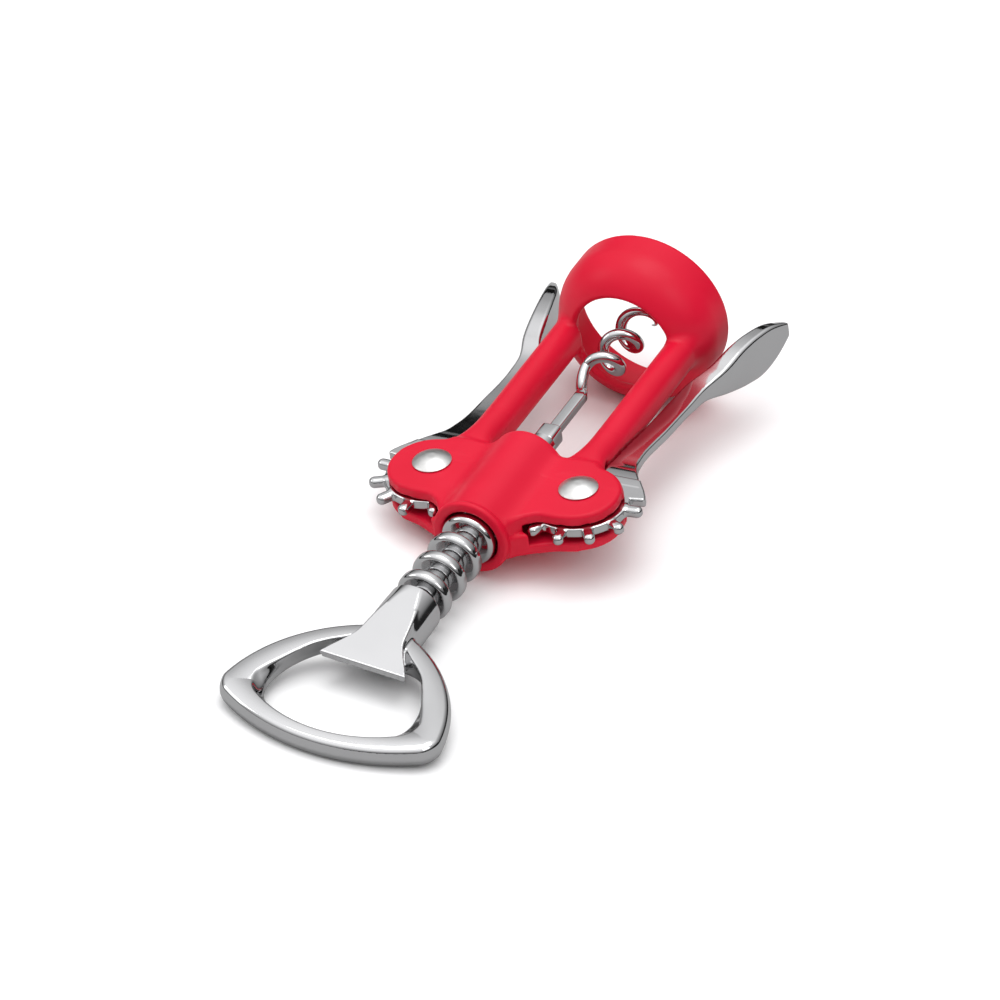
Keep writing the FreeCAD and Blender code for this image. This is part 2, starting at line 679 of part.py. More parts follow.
def main():
    doc = FreeCAD.newDocument("corkscrew")
    size = make_sheet(doc)
    lever = make_lever(doc, "lever_right")
    pieces = [
        make_frame(doc),
        make_rivet(doc, "pivot_rivet_right", ""),
        make_rivet(doc, "pivot_rivet_left", "-"),
        make_cap(doc, "rivet_cap_right", ""),
        make_cap(doc, "rivet_cap_left", "-"),
        lever,
        make_mirrored_lever(doc, "lever_left", lever),
        make_rack(doc),
        make_rod(doc),
        make_ferrule(doc),
        make_worm(doc, size),
        make_handle(doc),
        make_pin(doc),
    ]
    export(doc, pieces)


main()
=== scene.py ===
import math

import bmesh
import bpy
import numpy as np
from mathutils import Matrix, Vector


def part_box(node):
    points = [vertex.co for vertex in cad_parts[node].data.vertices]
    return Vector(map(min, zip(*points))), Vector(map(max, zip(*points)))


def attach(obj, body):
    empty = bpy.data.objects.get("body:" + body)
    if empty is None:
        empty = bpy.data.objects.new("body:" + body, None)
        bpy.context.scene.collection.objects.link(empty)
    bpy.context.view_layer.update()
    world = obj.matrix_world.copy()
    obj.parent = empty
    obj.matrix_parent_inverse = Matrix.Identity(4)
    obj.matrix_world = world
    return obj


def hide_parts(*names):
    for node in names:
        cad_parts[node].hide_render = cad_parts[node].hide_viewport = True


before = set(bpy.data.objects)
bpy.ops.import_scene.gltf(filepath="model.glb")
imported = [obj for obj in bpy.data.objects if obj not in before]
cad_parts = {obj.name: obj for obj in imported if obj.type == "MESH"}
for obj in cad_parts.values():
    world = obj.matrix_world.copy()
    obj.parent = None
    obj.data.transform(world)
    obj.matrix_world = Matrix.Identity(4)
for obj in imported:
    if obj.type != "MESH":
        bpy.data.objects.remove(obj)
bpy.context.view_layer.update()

# Shapes are worked out in millimetres about the pivot line, the line through both rivets.
mm = 0.001
rivetLow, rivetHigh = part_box("pivot_rivet_right")
pivotX = (rivetLow.x + rivetHigh.x) / 2 / mm
pivotY = (rivetLow.y + rivetHigh.y) / 2 / mm
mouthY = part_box("frame")[1].y / mm - pivotY
print("pivot line", round(pivotX, 2), round(pivotY, 2), "mouth", round(mouthY, 2))


# ---- distance helpers: below zero is inside
def polygon(x, y, points):
    points = np.asarray(points, float)
    nearest = np.full(x.shape, 1e9)
    inside = np.zeros(x.shape, bool)
    for (ax, ay), (bx, by) in zip(points, np.roll(points, -1, axis=0)):
        ex, ey = bx - ax, by - ay
        share = np.clip(((x - ax) * ex + (y - ay) * ey) / (ex * ex + ey * ey), 0, 1)
        nearest = np.minimum(nearest, (x - ax - ex * share) ** 2 + (y - ay - ey * share) ** 2)
        crosses = (ay > y) != (by > y)
        if ey != 0:
            inside ^= crosses & (x < ax + (y - ay) * ex / ey)
    return np.where(inside, -1, 1) * np.sqrt(nearest)


def segment(x, y, start, end):
    ex, ey = end[0] - start[0], end[1] - start[1]
    share = np.clip(((x - start[0]) * ex + (y - start[1]) * ey) / (ex * ex + ey * ey), 0, 1)
    return np.hypot(x - start[0] - ex * share, y - start[1] - ey * share)


def roundMeet(a, b, radius):
    # the overlap of two shapes, its edge rounded
    a, b = a + radius, b + radius
    return np.minimum(np.maximum(a, b), 0) + np.hypot(np.maximum(a, 0), np.maximum(b, 0)) - radius


def softJoin(a, b, reach):
    h = np.clip(1 - np.abs(a - b) / reach, 0, 1)
    return np.minimum(a, b) - h * h * reach / 4


def softCut(a, b, reach):
    return -softJoin(-a, b, reach)


def smoothStep(value):
    value = np.clip(value, 0, 1)
    return value * value * (3 - 2 * value)


def fieldMesh(name, field, low, high, step):
    # one point in every cell that the surface crosses, then walked onto the surface
    low = np.asarray(low, float)
    coarse = 4
    counts = [int(math.ceil((h - l) / step / coarse)) * coarse for l, h in zip(low, high)]
    axes = [low[k] + step * np.arange(counts[k]) for k in range(3)]
    grid = np.meshgrid(*[a[::coarse] for a in axes], indexing="ij")
    rough = field(*grid)
    for k in range(3):
        rough = np.repeat(rough, coarse, axis=k)
    near = np.abs(rough) < step * coarse * 2.4
    where = np.nonzero(near)
    values = rough.astype(float)
    values[near] = field(*[axes[k][where[k]] for k in range(3)])
    inside = values < 0
    shape = [n - 1 for n in counts]
    offsets = [(i, j, k) for i in (0, 1) for j in (0, 1) for k in (0, 1)]

    def shifted(array, offset):
        return array[tuple(slice(o, o + n) for o, n in zip(offset, shape))]

    total = sum(shifted(inside, o).astype(np.int8) for o in offsets)
    active = (total > 0) & (total < 8)
    cells = np.stack(np.nonzero(active), axis=1)
    number = np.full(shape, -1, np.int64)
    number[active] = np.arange(len(cells))
    corner = {o: values[tuple((cells + o).T)] for o in offsets}
    summed, hits = np.zeros((len(cells), 3)), np.zeros(len(cells))
    for a in offsets:
        for k in range(3):
            if a[k]:
                continue
            b = tuple(1 if n == k else a[n] for n in range(3))
            va, vb = corner[a], corner[b]
            cut = (va < 0) != (vb < 0)
            share = np.where(cut, va / np.where(cut, va - vb, 1), 0)
            spot = np.tile(np.array(a, float), (len(cells), 1))
            spot[:, k] = share
            summed += np.where(cut[:, None], spot, 0)
            hits += cut
    points = low + step * (cells + summed / hits[:, None])
    normals = None
    for turn in range(4):
        normals = slopeOf(field, points, step * 0.05)
        size = np.linalg.norm(normals, axis=1, keepdims=True)
        normals = normals / np.maximum(size, 1e-9)
        if turn == 3:
            break
        away = field(*points.T)[:, None] / np.maximum(size, 0.3)
        points = points - normals * np.clip(away, -step * 0.5, step * 0.5)
    faces = []
    for k in range(3):
        u, v = (k + 1) % 3, (k + 2) % 3
        first = inside[tuple(slice(0, n) for n in shape)]
        upper = np.take(inside, range(1, counts[k]), axis=k)
        upper = upper[tuple(slice(0, n) for n in shape)]
        spots = np.stack(np.nonzero(first != upper), axis=1)
        spots = spots[(spots[:, u] > 0) & (spots[:, v] > 0)]
        backU, backV = np.eye(3, dtype=int)[u], np.eye(3, dtype=int)[v]
        loop = [spots, spots - backU, spots - backU - backV, spots - backV]
        quad = np.stack([number[tuple(c.T)] for c in loop], axis=1)
        outward = first[tuple(spots.T)]
        quad = np.where(outward[:, None], quad, quad[:, ::-1])
        faces.append(quad[(quad >= 0).all(axis=1)])
    faces = np.concatenate(faces)
    print("  ", name, len(points), "points", len(faces), "faces")
    return meshObject(name, points, faces, normals)


def slopeOf(field, points, reach):
    columns = []
    for k in range(3):
        shift = np.zeros(3)
        shift[k] = reach
        columns.append(field(*(points + shift).T) - field(*(points - shift).T))
    return np.stack(columns, axis=1) / (2 * reach)


def meshObject(name, points, faces, normals=None):
    # points are in millimetres about the pivot line
    placed = (np.asarray(points, float) + (0, pivotY, 0)) * mm
    mesh = bpy.data.meshes.new(name)
    mesh.from_pydata(placed.tolist(), [], np.asarray(faces).tolist() if len(faces) else [])
    mesh.polygons.foreach_set("use_smooth", [True] * len(mesh.polygons))
    if normals is not None:
        mesh.normals_split_custom_set_from_vertices(np.asarray(normals).tolist())
    mesh.update()
    made = bpy.data.objects.new(name, mesh)
    bpy.context.scene.collection.objects.link(made)
    return made


def finishPiece(piece, material, body, slotName, *nodes):
    piece.data.materials.clear()
    piece.data.materials.append(material)
    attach(piece, body)
    if nodes:
        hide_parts(*nodes)
    return piece


# ---- materials
class Nodes:
    def __init__(self, name):
        self.material = bpy.data.materials.new(name)
        self.material.use_nodes = True
        self.tree = self.material.node_tree
        self.shader = self.tree.nodes["Principled BSDF"]
        self.place = self.tree.nodes.new("ShaderNodeTexCoord").outputs["Object"]

    def set(self, **inputs):
        for key, value in inputs.items():
            self.shader.inputs[key.replace("_", " ")].default_value = value

    def noise(self, scale, detail=3.0, rough=0.5):
        node = self.tree.nodes.new("ShaderNodeTexNoise")
        node.inputs["Scale"].default_value = scale
        node.inputs["Detail"].default_value = detail
        node.inputs["Roughness"].default_value = rough
        self.tree.links.new(self.place, node.inputs["Vector"])
        return node.outputs["Fac"]

    def ramp(self, source, low, high, start=0.3, stop=0.7):
        node = self.tree.nodes.new("ShaderNodeMapRange")
        node.inputs["From Min"].default_value = start
        node.inputs["From Max"].default_value = stop
        node.inputs["To Min"].default_value = low
        node.inputs["To Max"].default_value = high
        self.tree.links.new(source, node.inputs["Value"])
        return node.outputs["Result"]

    def tint(self, source, first, second):
        node = self.tree.nodes.new("ShaderNodeMix")
        node.data_type = "RGBA"
        node.inputs["A"].default_value = (*first, 1)
        node.inputs["B"].default_value = (*second, 1)
        self.tree.links.new(source, node.inputs["Factor"])
        return node.outputs["Result"]

    def feed(self, source, name):
        self.tree.links.new(source, self.shader.inputs[name])

    def bump(self, source, strength, depth):
        node = self.tree.nodes.new("ShaderNodeBump")
        node.inputs["Strength"].default_value = strength
        node.inputs["Distance"].default_value = depth
        self.tree.links.new(source, node.inputs["Height"])
        self.feed(node.outputs["Normal"], "Normal")


def makeRedPlastic():
    m = Nodes("redPlastic")
    m.set(IOR=1.46, Specular_IOR_Level=0.22)
    cloud = m.noise(55, 2.0)
    m.feed(m.tint(m.ramp(cloud, 0, 1), (0.61, 0.004, 0.026), (0.665, 0.007, 0.034)), "Base Color")
    m.feed(m.ramp(m.noise(260, 4.0), 0.33, 0.42), "Roughness")
    m.bump(m.noise(2600, 3.0), 0.05, 0.00005)
    return m.material


def makeChrome(name, tone, rough, wave, depth):
    m = Nodes(name)
    m.set(Metallic=1.0)
    smear = m.noise(90, 3.0)
    m.feed(m.tint(m.ramp(smear, 0, 1), tone, [c * 0.965 for c in tone]), "Base Color")
    m.feed(m.ramp(m.noise(420, 5.0), rough, rough * 1.7), "Roughness")
    m.bump(m.noise(wave, 2.0), 0.25, depth)
    return m.material


def makeRivetSteel():
    m = Nodes("rivetSteel")
    m.set(Metallic=1.0)
    m.feed(m.tint(m.ramp(m.noise(700, 4.0), 0, 1), (0.66, 0.66, 0.65), (0.58, 0.58, 0.57)), "Base Color")
    m.feed(m.ramp(m.noise(1500, 4.0), 0.30, 0.42), "Roughness")
    m.bump(m.noise(2200, 3.0), 0.15, 0.00004)
    return m.material


redPlastic = makeRedPlastic()
chrome = makeChrome("chrome", (0.60, 0.60, 0.605), 0.05, 160, 0.00006)
castChrome = makeChrome("castChrome", (0.60, 0.60, 0.605), 0.065, 110, 0.0001)
rivetSteel = makeRivetSteel()
rodSteel = makeChrome("rodSteel", (0.62, 0.62, 0.63), 0.22, 600, 0.00004)
print("materials made")


# ---- the moulded frame
frameShape = {
    "earCentre": (pivotX + 0.1, -0.8), "earRadius": 9.3, "faceHeight": 4.0, "backDepth": 5.2,
    "frontEdge": [(-5, -15.2), (8.0, -15.2), (10.6, -11.9), (13.4, -10.0), (16.5, -9.1),
                  (20, 0), (16.9, 9.6), (-5, 9.6)],
    "backEdge": [(-5, -15.9), (8.0, -15.9), (12.1, -13.3), (16.2, -11.3), (20.8, -9.5),
                 (21, 0), (16.9, 9.6), (-5, 9.6)],
    "edgeRound": 0.85, "slotRadius": 14.5, "slotFront": 1.3, "slotBack": 2.6, "slotPostEnd": 16,
    "sleeveRadius": 8.1, "sleeveStart": -17.6, "sleeveEnd": 11.4, "beadRadius": 8.75, "beadHalf": 0.75,
    "boreRadius": 6.4, "boreReach": 20, "pinRadius": 2.3, "leverGap": 0.35,
    "postX": 13.5, "postRadius": 3.4, "postDrop": 1.6, "postStart": 5.5, "postEnd": 64,
    "flareStart": 4, "flareEnd": 22, "flareLength": 11, "windowRadius": 11.4, "windowStart": 57.4,
    "shellHalf": 0.95, "shellMouth": 17.95, "shoulderY": 66.5, "domeRadius": 9.25, "domeStop": 66.8,
    "step": 0.42,
}


def bellShell(r, y):
    s = frameShape
    half, mouth, shoulder, dome = s["shellHalf"], s["shellMouth"], s["shoulderY"], s["domeRadius"]
    centre = mouth - dome
    stop = math.radians(s["domeStop"])
    du, dv = r - centre, shoulder - y
    onArc = (np.arctan2(dv, du) >= 0) & (np.arctan2(dv, du) <= stop)
    rim = (centre + dome * math.cos(stop), shoulder - dome * math.sin(stop))
    arc = np.where(onArc, np.abs(np.hypot(du, dv) - dome), np.hypot(r - rim[0], y - rim[1]))
    wall = segment(r, y, (mouth, shoulder), (mouth, mouthY - half))
    return np.minimum(arc, wall) - half


def bellCavity(r, y):
    s = frameShape
    inner = s["shellMouth"] - s["shellHalf"]
    dome = s["domeRadius"] - s["shellHalf"]
    below = np.maximum(s["shoulderY"] - y, 0)
    across = np.maximum(r - (inner - dome), 0)
    return np.hypot(across, below) - dome


def frameField(x, y, z):
    s = frameShape
    side = np.abs(x)
    ear = np.hypot(side - s["earCentre"][0], y - s["earCentre"][1]) - s["earRadius"]
    fade = smoothStep((s["flareEnd"] - y) / s["flareLength"])
    post = np.abs(side - s["postX"]) - s["postRadius"] * (0.4 + 0.5 * fade)
    post = np.maximum(post, np.maximum(y - s["flareEnd"], s["flareStart"] - y))
    front = softJoin(ear, polygon(side, y, s["frontEdge"]), 2.5)
    back = softJoin(ear, polygon(side, y, s["backEdge"]), 1.5)
    # the posts broaden where they run into the head
    flare = softJoin(front, post, 6)
    upper = roundMeet(front, np.maximum(z - s["faceHeight"], -z - 0.2), s["edgeRound"])
    lower = roundMeet(back, np.maximum(-z - s["backDepth"], z - 0.2), s["edgeRound"])
    head = np.minimum(upper, lower)
    slot = np.hypot(side - pivotX, y) - s["slotRadius"]
    slot = np.maximum(slot, np.maximum(z - s["slotFront"], -z - s["slotBack"]))
    fromAxis = np.hypot(x, z)
    middle, half = (s["sleeveStart"] + s["sleeveEnd"]) / 2, (s["sleeveEnd"] - s["sleeveStart"]) / 2
    sleeve = roundMeet(fromAxis - s["sleeveRadius"], np.abs(y - middle) - half, 1.0)
    body = softJoin(head, sleeve, 2.6)
    bead = roundMeet(fromAxis - s["beadRadius"], np.abs(y - s["sleeveStart"] - 0.35) - s["beadHalf"], 0.6)
    body = softJoin(body, bead, 0.8)
    body = softCut(body, slot, 0.7)
    flare = roundMeet(flare, np.maximum(z - 2.2 - 1.1 * fade, -z - 3.8 - 1.1 * fade), 1.6)
    rod = np.hypot(side - s["postX"], z - np.clip(z, -s["postDrop"], 0)) - s["postRadius"]
    rod = np.maximum(rod, np.maximum(s["postStart"] - y, y - s["postEnd"]))
    rod = softJoin(rod, np.maximum(flare, 3 - y), 2.2)
    rod = softCut(rod, np.maximum(slot, y - s["slotPostEnd"]), 0.5)
    body = softJoin(body, rod, 1.6)
    bell = softJoin(body, bellShell(fromAxis, y), 1.8)
    window = np.maximum(fromAxis - s["windowRadius"], s["windowStart"] - y)
    hole = np.minimum(bellCavity(fromAxis, y), window)
    bell = softCut(bell, hole, 0.4)
    bore = np.maximum(fromAxis - s["boreRadius"], np.maximum(y - s["boreReach"], -y - s["boreReach"]))
    bell = softCut(bell, bore, 0.9)
    pin = np.hypot(side - pivotX, y) - s["pinRadius"]
    # each lever's outline at rest is cut out; the teeth still meet the slot as a lever turns
    relief = leverField(side - pivotX, y, z) - s["leverGap"]
    return np.maximum(np.maximum(bell, -pin), -relief)


# ---- the two levers, each a toothed plate that grows into an upright paddle
leverShape = {
    "plateHalf": 1.1, "rootRadius": 10.7, "tipRadius": 14.1, "toothHalf": 1.22, "eyeRadius": 2.36,
    "toothAngles": [184 + 30 * n for n in range(7)],
    "plateRound": 0.45, "toothStart": 8, "toothProud": 0.05, "toothRound": 0.95, "toothBlend": 0.6,
    "armStart": 7.2, "armBlend": 0.12, "armEndRound": 0.7,
    "armRoot": [(-1.4, 5), (9.5, 3.4), (12.9, 4.0), (13.15, 4.5), (12.7, 5.6), (11.5, 7.5),
                (10.2, 9.2), (9.3, 10.4), (-0.7, 10.4)],
    "stations": [7, 10, 13.5, 16, 20, 33, 45, 51, 57, 65, 70, 76, 80.2],
    "outerEdge": [10.9, 9.2, 7.0, 5.8, 4.95, 4.7, 4.8, 5.3, 7.2, 8.6, 9.5, 10.8, 12.0],
    "width": [11.0, 9.6, 7.4, 6.2, 5.6, 5.2, 5.1, 4.9, 4.3, 3.9, 3.6, 2.9, 1.5],
    "centre": [0, 0, -0.4, -0.95, -1.6, -3.4, -4.6, -5.0, -5.5, -6.2, -6.6, -6.2, -5.5],
    "height": [2.2, 2.2, 2.2, 2.2, 2.2, 2.3, 2.6, 3.6, 6.4, 9.9, 10.6, 8.0, 3.0],
    "step": 0.25,
}


def curveThrough(at, knots, values):
    knots, values = np.asarray(knots, float), np.asarray(values, float)
    slopes = np.gradient(values, knots)
    at = np.clip(at, knots[0], knots[-1])
    i = np.clip(np.searchsorted(knots, at) - 1, 0, len(knots) - 2)
    gap = knots[i + 1] - knots[i]
    t = (at - knots[i]) / gap
    early, late = (1 + 2 * t) * (1 - t) ** 2, t * t * (3 - 2 * t)
    return (early * values[i] + t * (1 - t) ** 2 * gap * slopes[i]
            + late * values[i + 1] + t * t * (t - 1) * gap * slopes[i + 1])


def leverField(across, y, z):
    s = leverShape
    flat = np.minimum(np.hypot(across, y) - s["rootRadius"], polygon(across, y, s["armRoot"]))
    plate = roundMeet(flat, np.abs(z) - s["plateHalf"], s["plateRound"])
    start, reach = s["toothStart"], s["tipRadius"] - s["toothHalf"]
    for angle in s["toothAngles"]:
        c, d = math.cos(math.radians(angle)), math.sin(math.radians(angle))
        tooth = segment(across, y, (start * c, start * d), (reach * c, reach * d)) - s["toothHalf"]
        tooth = roundMeet(tooth, np.abs(z) - s["plateHalf"] - s["toothProud"], s["toothRound"])
        plate = softJoin(plate, tooth, s["toothBlend"])
    width = curveThrough(y, s["stations"], s["width"])
    edge = curveThrough(y, s["stations"], s["outerEdge"])
    level = curveThrough(y, s["stations"], s["centre"])
    height = curveThrough(y, s["stations"], s["height"])
    corner = np.clip(0.42 + (height - 2.4) * 0.06, 0.42, 0.75)
    du = np.abs(across - edge + width / 2) - width / 2
    crown = 0.35 * np.clip(1 - ((z - level) / (height / 2)) ** 2, 0, 1) * np.clip((height - 3) / 5, 0, 1)
    section = roundMeet((du - crown) * 0.92, (np.abs(z - level) - height / 2) * 0.95, corner)
    ends = np.maximum(y - s["stations"][-1] + 0.1, s["armStart"] - y)
    arm = roundMeet(section, ends, s["armEndRound"])
    lever = softJoin(plate, arm, s["armBlend"])
    return np.maximum(lever, s["eyeRadius"] - np.hypot(across, y))


def rightLever(x, y, z):
    return leverField(x - pivotX, y, z)


def leftLever(x, y, z):
    return leverField(-x - pivotX, y, z)


# the moulding comes after the levers' field, which its relief follows
def makeMoulding():
    low, high = (-27.6, -19.4, -19.8), (27.8, mouthY + 1, 20)
    moulding = fieldMesh("frameMoulding", frameField, low, high, frameShape["step"])
    finishPiece(moulding, redPlastic, "frame", "red_plastic", "frame")


makeMoulding()
print("frame made")


def makeLevers():
    span = (pivotX - 14.6, pivotX + 14.6)
    right = fieldMesh("leverRight", rightLever, (span[0], -14.6, -12.4), (span[1], 81, 2), leverShape["step"])
    left = fieldMesh("leverLeft", leftLever, (-span[1], -14.6, -12.4), (-span[0], 81, 2), leverShape["step"])
    finishPiece(right, chrome, "lever_right", "chrome", "lever_right")
    finishPiece(left, chrome, "lever_left", "chrome", "lever_left")


makeLevers()
print("levers made")


# ---- the cast opener handle, laid over by its turn about the spindle
openerShape = {
    "turn": 7.7, "sideCentre": (-9.98, -85.94), "sideRadius": 35.5, "endCentre": -49.7, "endRadius": 42.8,
    "cornerRound": 3.2, "halfThick": 2.5, "sideLean": 0.42, "bandMiddle": 3.6,
    "gapSide": (-5.9, -77.5), "gapSideRadius": 22.4, "gapEnd": -60.8, "gapEndRadius": 27.5, "gapTop": -61.6,
    "recessY": [-83, -78.5, -75, -71.8, -68, -64.8, -62.8, -61, -59.4, -58],
    "recessHalf": [19.5, 18.7, 17.4, 15.8, 13.9, 12.0, 10.1, 8.0, 6.2, 4.6],
    "tongueY": [-67.4, -65, -63, -61, -59, -57, -55, -52, -50, -45],
    "tongueHalf": [9.95, 8.6, 7.35, 6.2, 5.35, 4.9, 4.5, 3.75, 3.1, 2.0],
    "lip": -67.4, "lipTop": 2.95, "lipThick": 0.8, "undercut": 0.62, "facetRise": 0.121,
    "recessTop": -58.4, "tongueTop": -50, "lipBack": -60,
    "neckY": [-61, -56, -52, -43], "neckRadius": [4.9, 5.75, 6.0, 5.9], "neckStart": -43.1, "step": 0.225,
}


def openerField(x, y, z):
    s = openerShape
    turn = math.radians(s["turn"])
    x, z = x * math.cos(turn) - z * math.sin(turn), x * math.sin(turn) + z * math.cos(turn)
    side = np.abs(x)
    outer = roundMeet(np.hypot(side - s["sideCentre"][0], y - s["sideCentre"][1]) - s["sideRadius"],
                      np.hypot(x, y - s["endCentre"]) - s["endRadius"], s["cornerRound"])
    lean = (outer + s["sideLean"] * (np.sqrt(z * z + 0.6) - 0.75)) / math.hypot(1, s["sideLean"])
    crown = 0.034 * np.clip(outer + s["bandMiddle"], -4, 4) ** 2
    band = roundMeet(lean, np.abs(z) - s["halfThick"] + crown, 0.65)
    low = roundMeet(np.hypot(side - s["gapSide"][0], y - s["gapSide"][1]) - s["gapSideRadius"],
                    np.hypot(x, y - s["gapEnd"]) - s["gapEndRadius"], 4)
    low = roundMeet(low, y - s["gapTop"], 1.5)
    high = (side - curveThrough(y, s["recessY"], s["recessHalf"])) * 0.85
    high = roundMeet(high, np.hypot(x, y - s["gapEnd"]) - s["gapEndRadius"] - 0.5, 3)
    high = np.maximum(high, y - s["recessTop"])
    share = smoothStep((z - 0.1) / 2.3)
    gap = np.where(z > 0, low * (1 - share) + high * share, low - 0.6 * smoothStep((-z - 1.2) / 1.3))
    band = softCut(band, gap, 0.55)
    rise = s["lipTop"] + s["facetRise"] * (y - s["lip"])
    above, below = z - rise, -z - rise
    neck = np.hypot(x, z) - curveThrough(y, s["neckY"], s["neckRadius"])
    neck = roundMeet(neck, np.maximum(y - s["neckStart"], s["neckY"][0] - y), 0.45)
    half = curveThrough(y, s["tongueY"], s["tongueHalf"])
    # the tongue thins towards its lip, undercut from below
    under = np.maximum(s["undercut"] * (s["lip"] + 0.6 - y) - z + 1.1, -z - 2.1) * 0.8
    tongue = roundMeet((side - half) * 0.9, under, 0.3)
    tongue = np.maximum(tongue, y - s["tongueTop"])
    step = np.maximum(s["lip"] + 0.45 - y, (side - half) * 0.9)
    tongue = np.maximum(tongue, step)
    lip = np.maximum((side - half) * 0.9, np.maximum(s["lip"] - y, -above - s["lipThick"]))
    lip = np.maximum(lip, y - s["lipBack"])
    middle = softJoin(softJoin(neck, tongue, 1.2), lip, 0.1)
    middle = roundMeet(middle, np.maximum(above, below), 0.28)
    return softJoin(band, middle, 0.6)


opener = fieldMesh("openerHandle", openerField, (-27.2, -93.4, -6.8), (27.2, -42.7, 6.8), openerShape["step"])
finishPiece(opener, castChrome, "spindle", "chrome", "opener_handle")
print("opener handle made")


# ---- rivets and their closing heads, turned
def lathe(name, profile, centre, sides=96):
    # profile is (radius, height along z) from the axis back to the axis
    turned = []
    for radius, height in profile:
        for k in range(sides):
            angle = 2 * math.pi * k / sides
            spot = (radius * math.cos(angle), radius * math.sin(angle), height)
            turned.append([c + p for c, p in zip(centre, spot)])
    faces = []
    for row in range(len(profile) - 1):
        for k in range(sides):
            nextK = (k + 1) % sides
            here, above = row * sides, (row + 1) * sides
            faces.append((here + k, here + nextK, above + nextK, above + k))
    made = meshObject(name, turned, faces)
    mesh = bmesh.new()
    mesh.from_mesh(made.data)
    bmesh.ops.remove_doubles(mesh, verts=mesh.verts, dist=0.000002)
    bmesh.ops.recalc_face_normals(mesh, faces=mesh.faces)
    for edge in mesh.edges:
        edge.smooth = len(edge.link_faces) == 2 and edge.calc_face_angle() < math.radians(38)
    mesh.to_mesh(made.data)
    mesh.free()
    return made


rivetShape = {"headRadius": 4.3, "dome": 1.35, "rim": 0.28, "shank": 2.28, "gap": 0.05,
              "face": 4.0, "back": -5.8}


def makeRivet(name, side, body, node):
    s = rivetShape
    profile = [(0.0, s["back"]), (s["shank"], s["back"]), (s["shank"], s["face"] + s["gap"]),
               (s["headRadius"] - 0.2, s["face"] + s["gap"]), (s["headRadius"], s["face"] + s["gap"] + 0.12)]
    rimTop = s["face"] + s["gap"] + s["rim"]
    for k in range(19):
        # a domed head, flattened a little at the crown where it was set
        share = k / 18
        lift = s["dome"] * (1 - (1 - share) ** 2.0) - 0.06 * smoothStep((share - 0.72) / 0.28)
        profile.append((s["headRadius"] * (1 - share) if k else s["headRadius"] - 0.03, rimTop + lift))
    rivet = lathe(name, profile, (side * pivotX, 0, 0))
    return finishPiece(rivet, rivetSteel, body, "rivet_steel", node)


capShape = {"radius": 4.3, "seat": -5.2, "back": -6.36, "dish": 0.3, "stem": 2.3, "stemDepth": 0.7}


def makeCap(name, side, node):
    s = capShape
    rim, seat, back, dish = s["radius"], s["seat"], s["back"], s["dish"]
    profile = [(0, seat - s["stemDepth"]), (s["stem"], seat - s["stemDepth"]), (s["stem"], seat),
               (rim - 0.15, seat), (rim, seat - 0.15), (rim, seat - 0.5), (rim - 0.12, seat - 0.75),
               (rim - 0.7, back + 0.06), (rim - 1.1, back), (1.9, back),
               (1.6, back + dish * 0.6), (1.1, back + dish), (0, back + dish)]
    cap = lathe(name, profile, (side * pivotX, 0, 0))
    return finishPiece(cap, rivetSteel, "frame", "rivet_steel", node)


for word, side in (("right", 1), ("left", -1)):
    makeRivet("rivet" + word.capitalize(), side, "frame", "pivot_rivet_" + word)
    makeCap("rivetCap" + word.capitalize(), side, "rivet_cap_" + word)
print("rivets made")


# ---- the ringed rack, a Geometry Nodes tree
rackShape = {"ringCount": 7, "pitch": 6.9, "firstRing": 2.53, "ringRadius": 6.08, "ringThickness": 3.1,
             "ringRound": 1.15, "coreRadius": 3.0, "boreRadius": 2.05, "coreStart": -43.0, "coreEnd": 17.5}


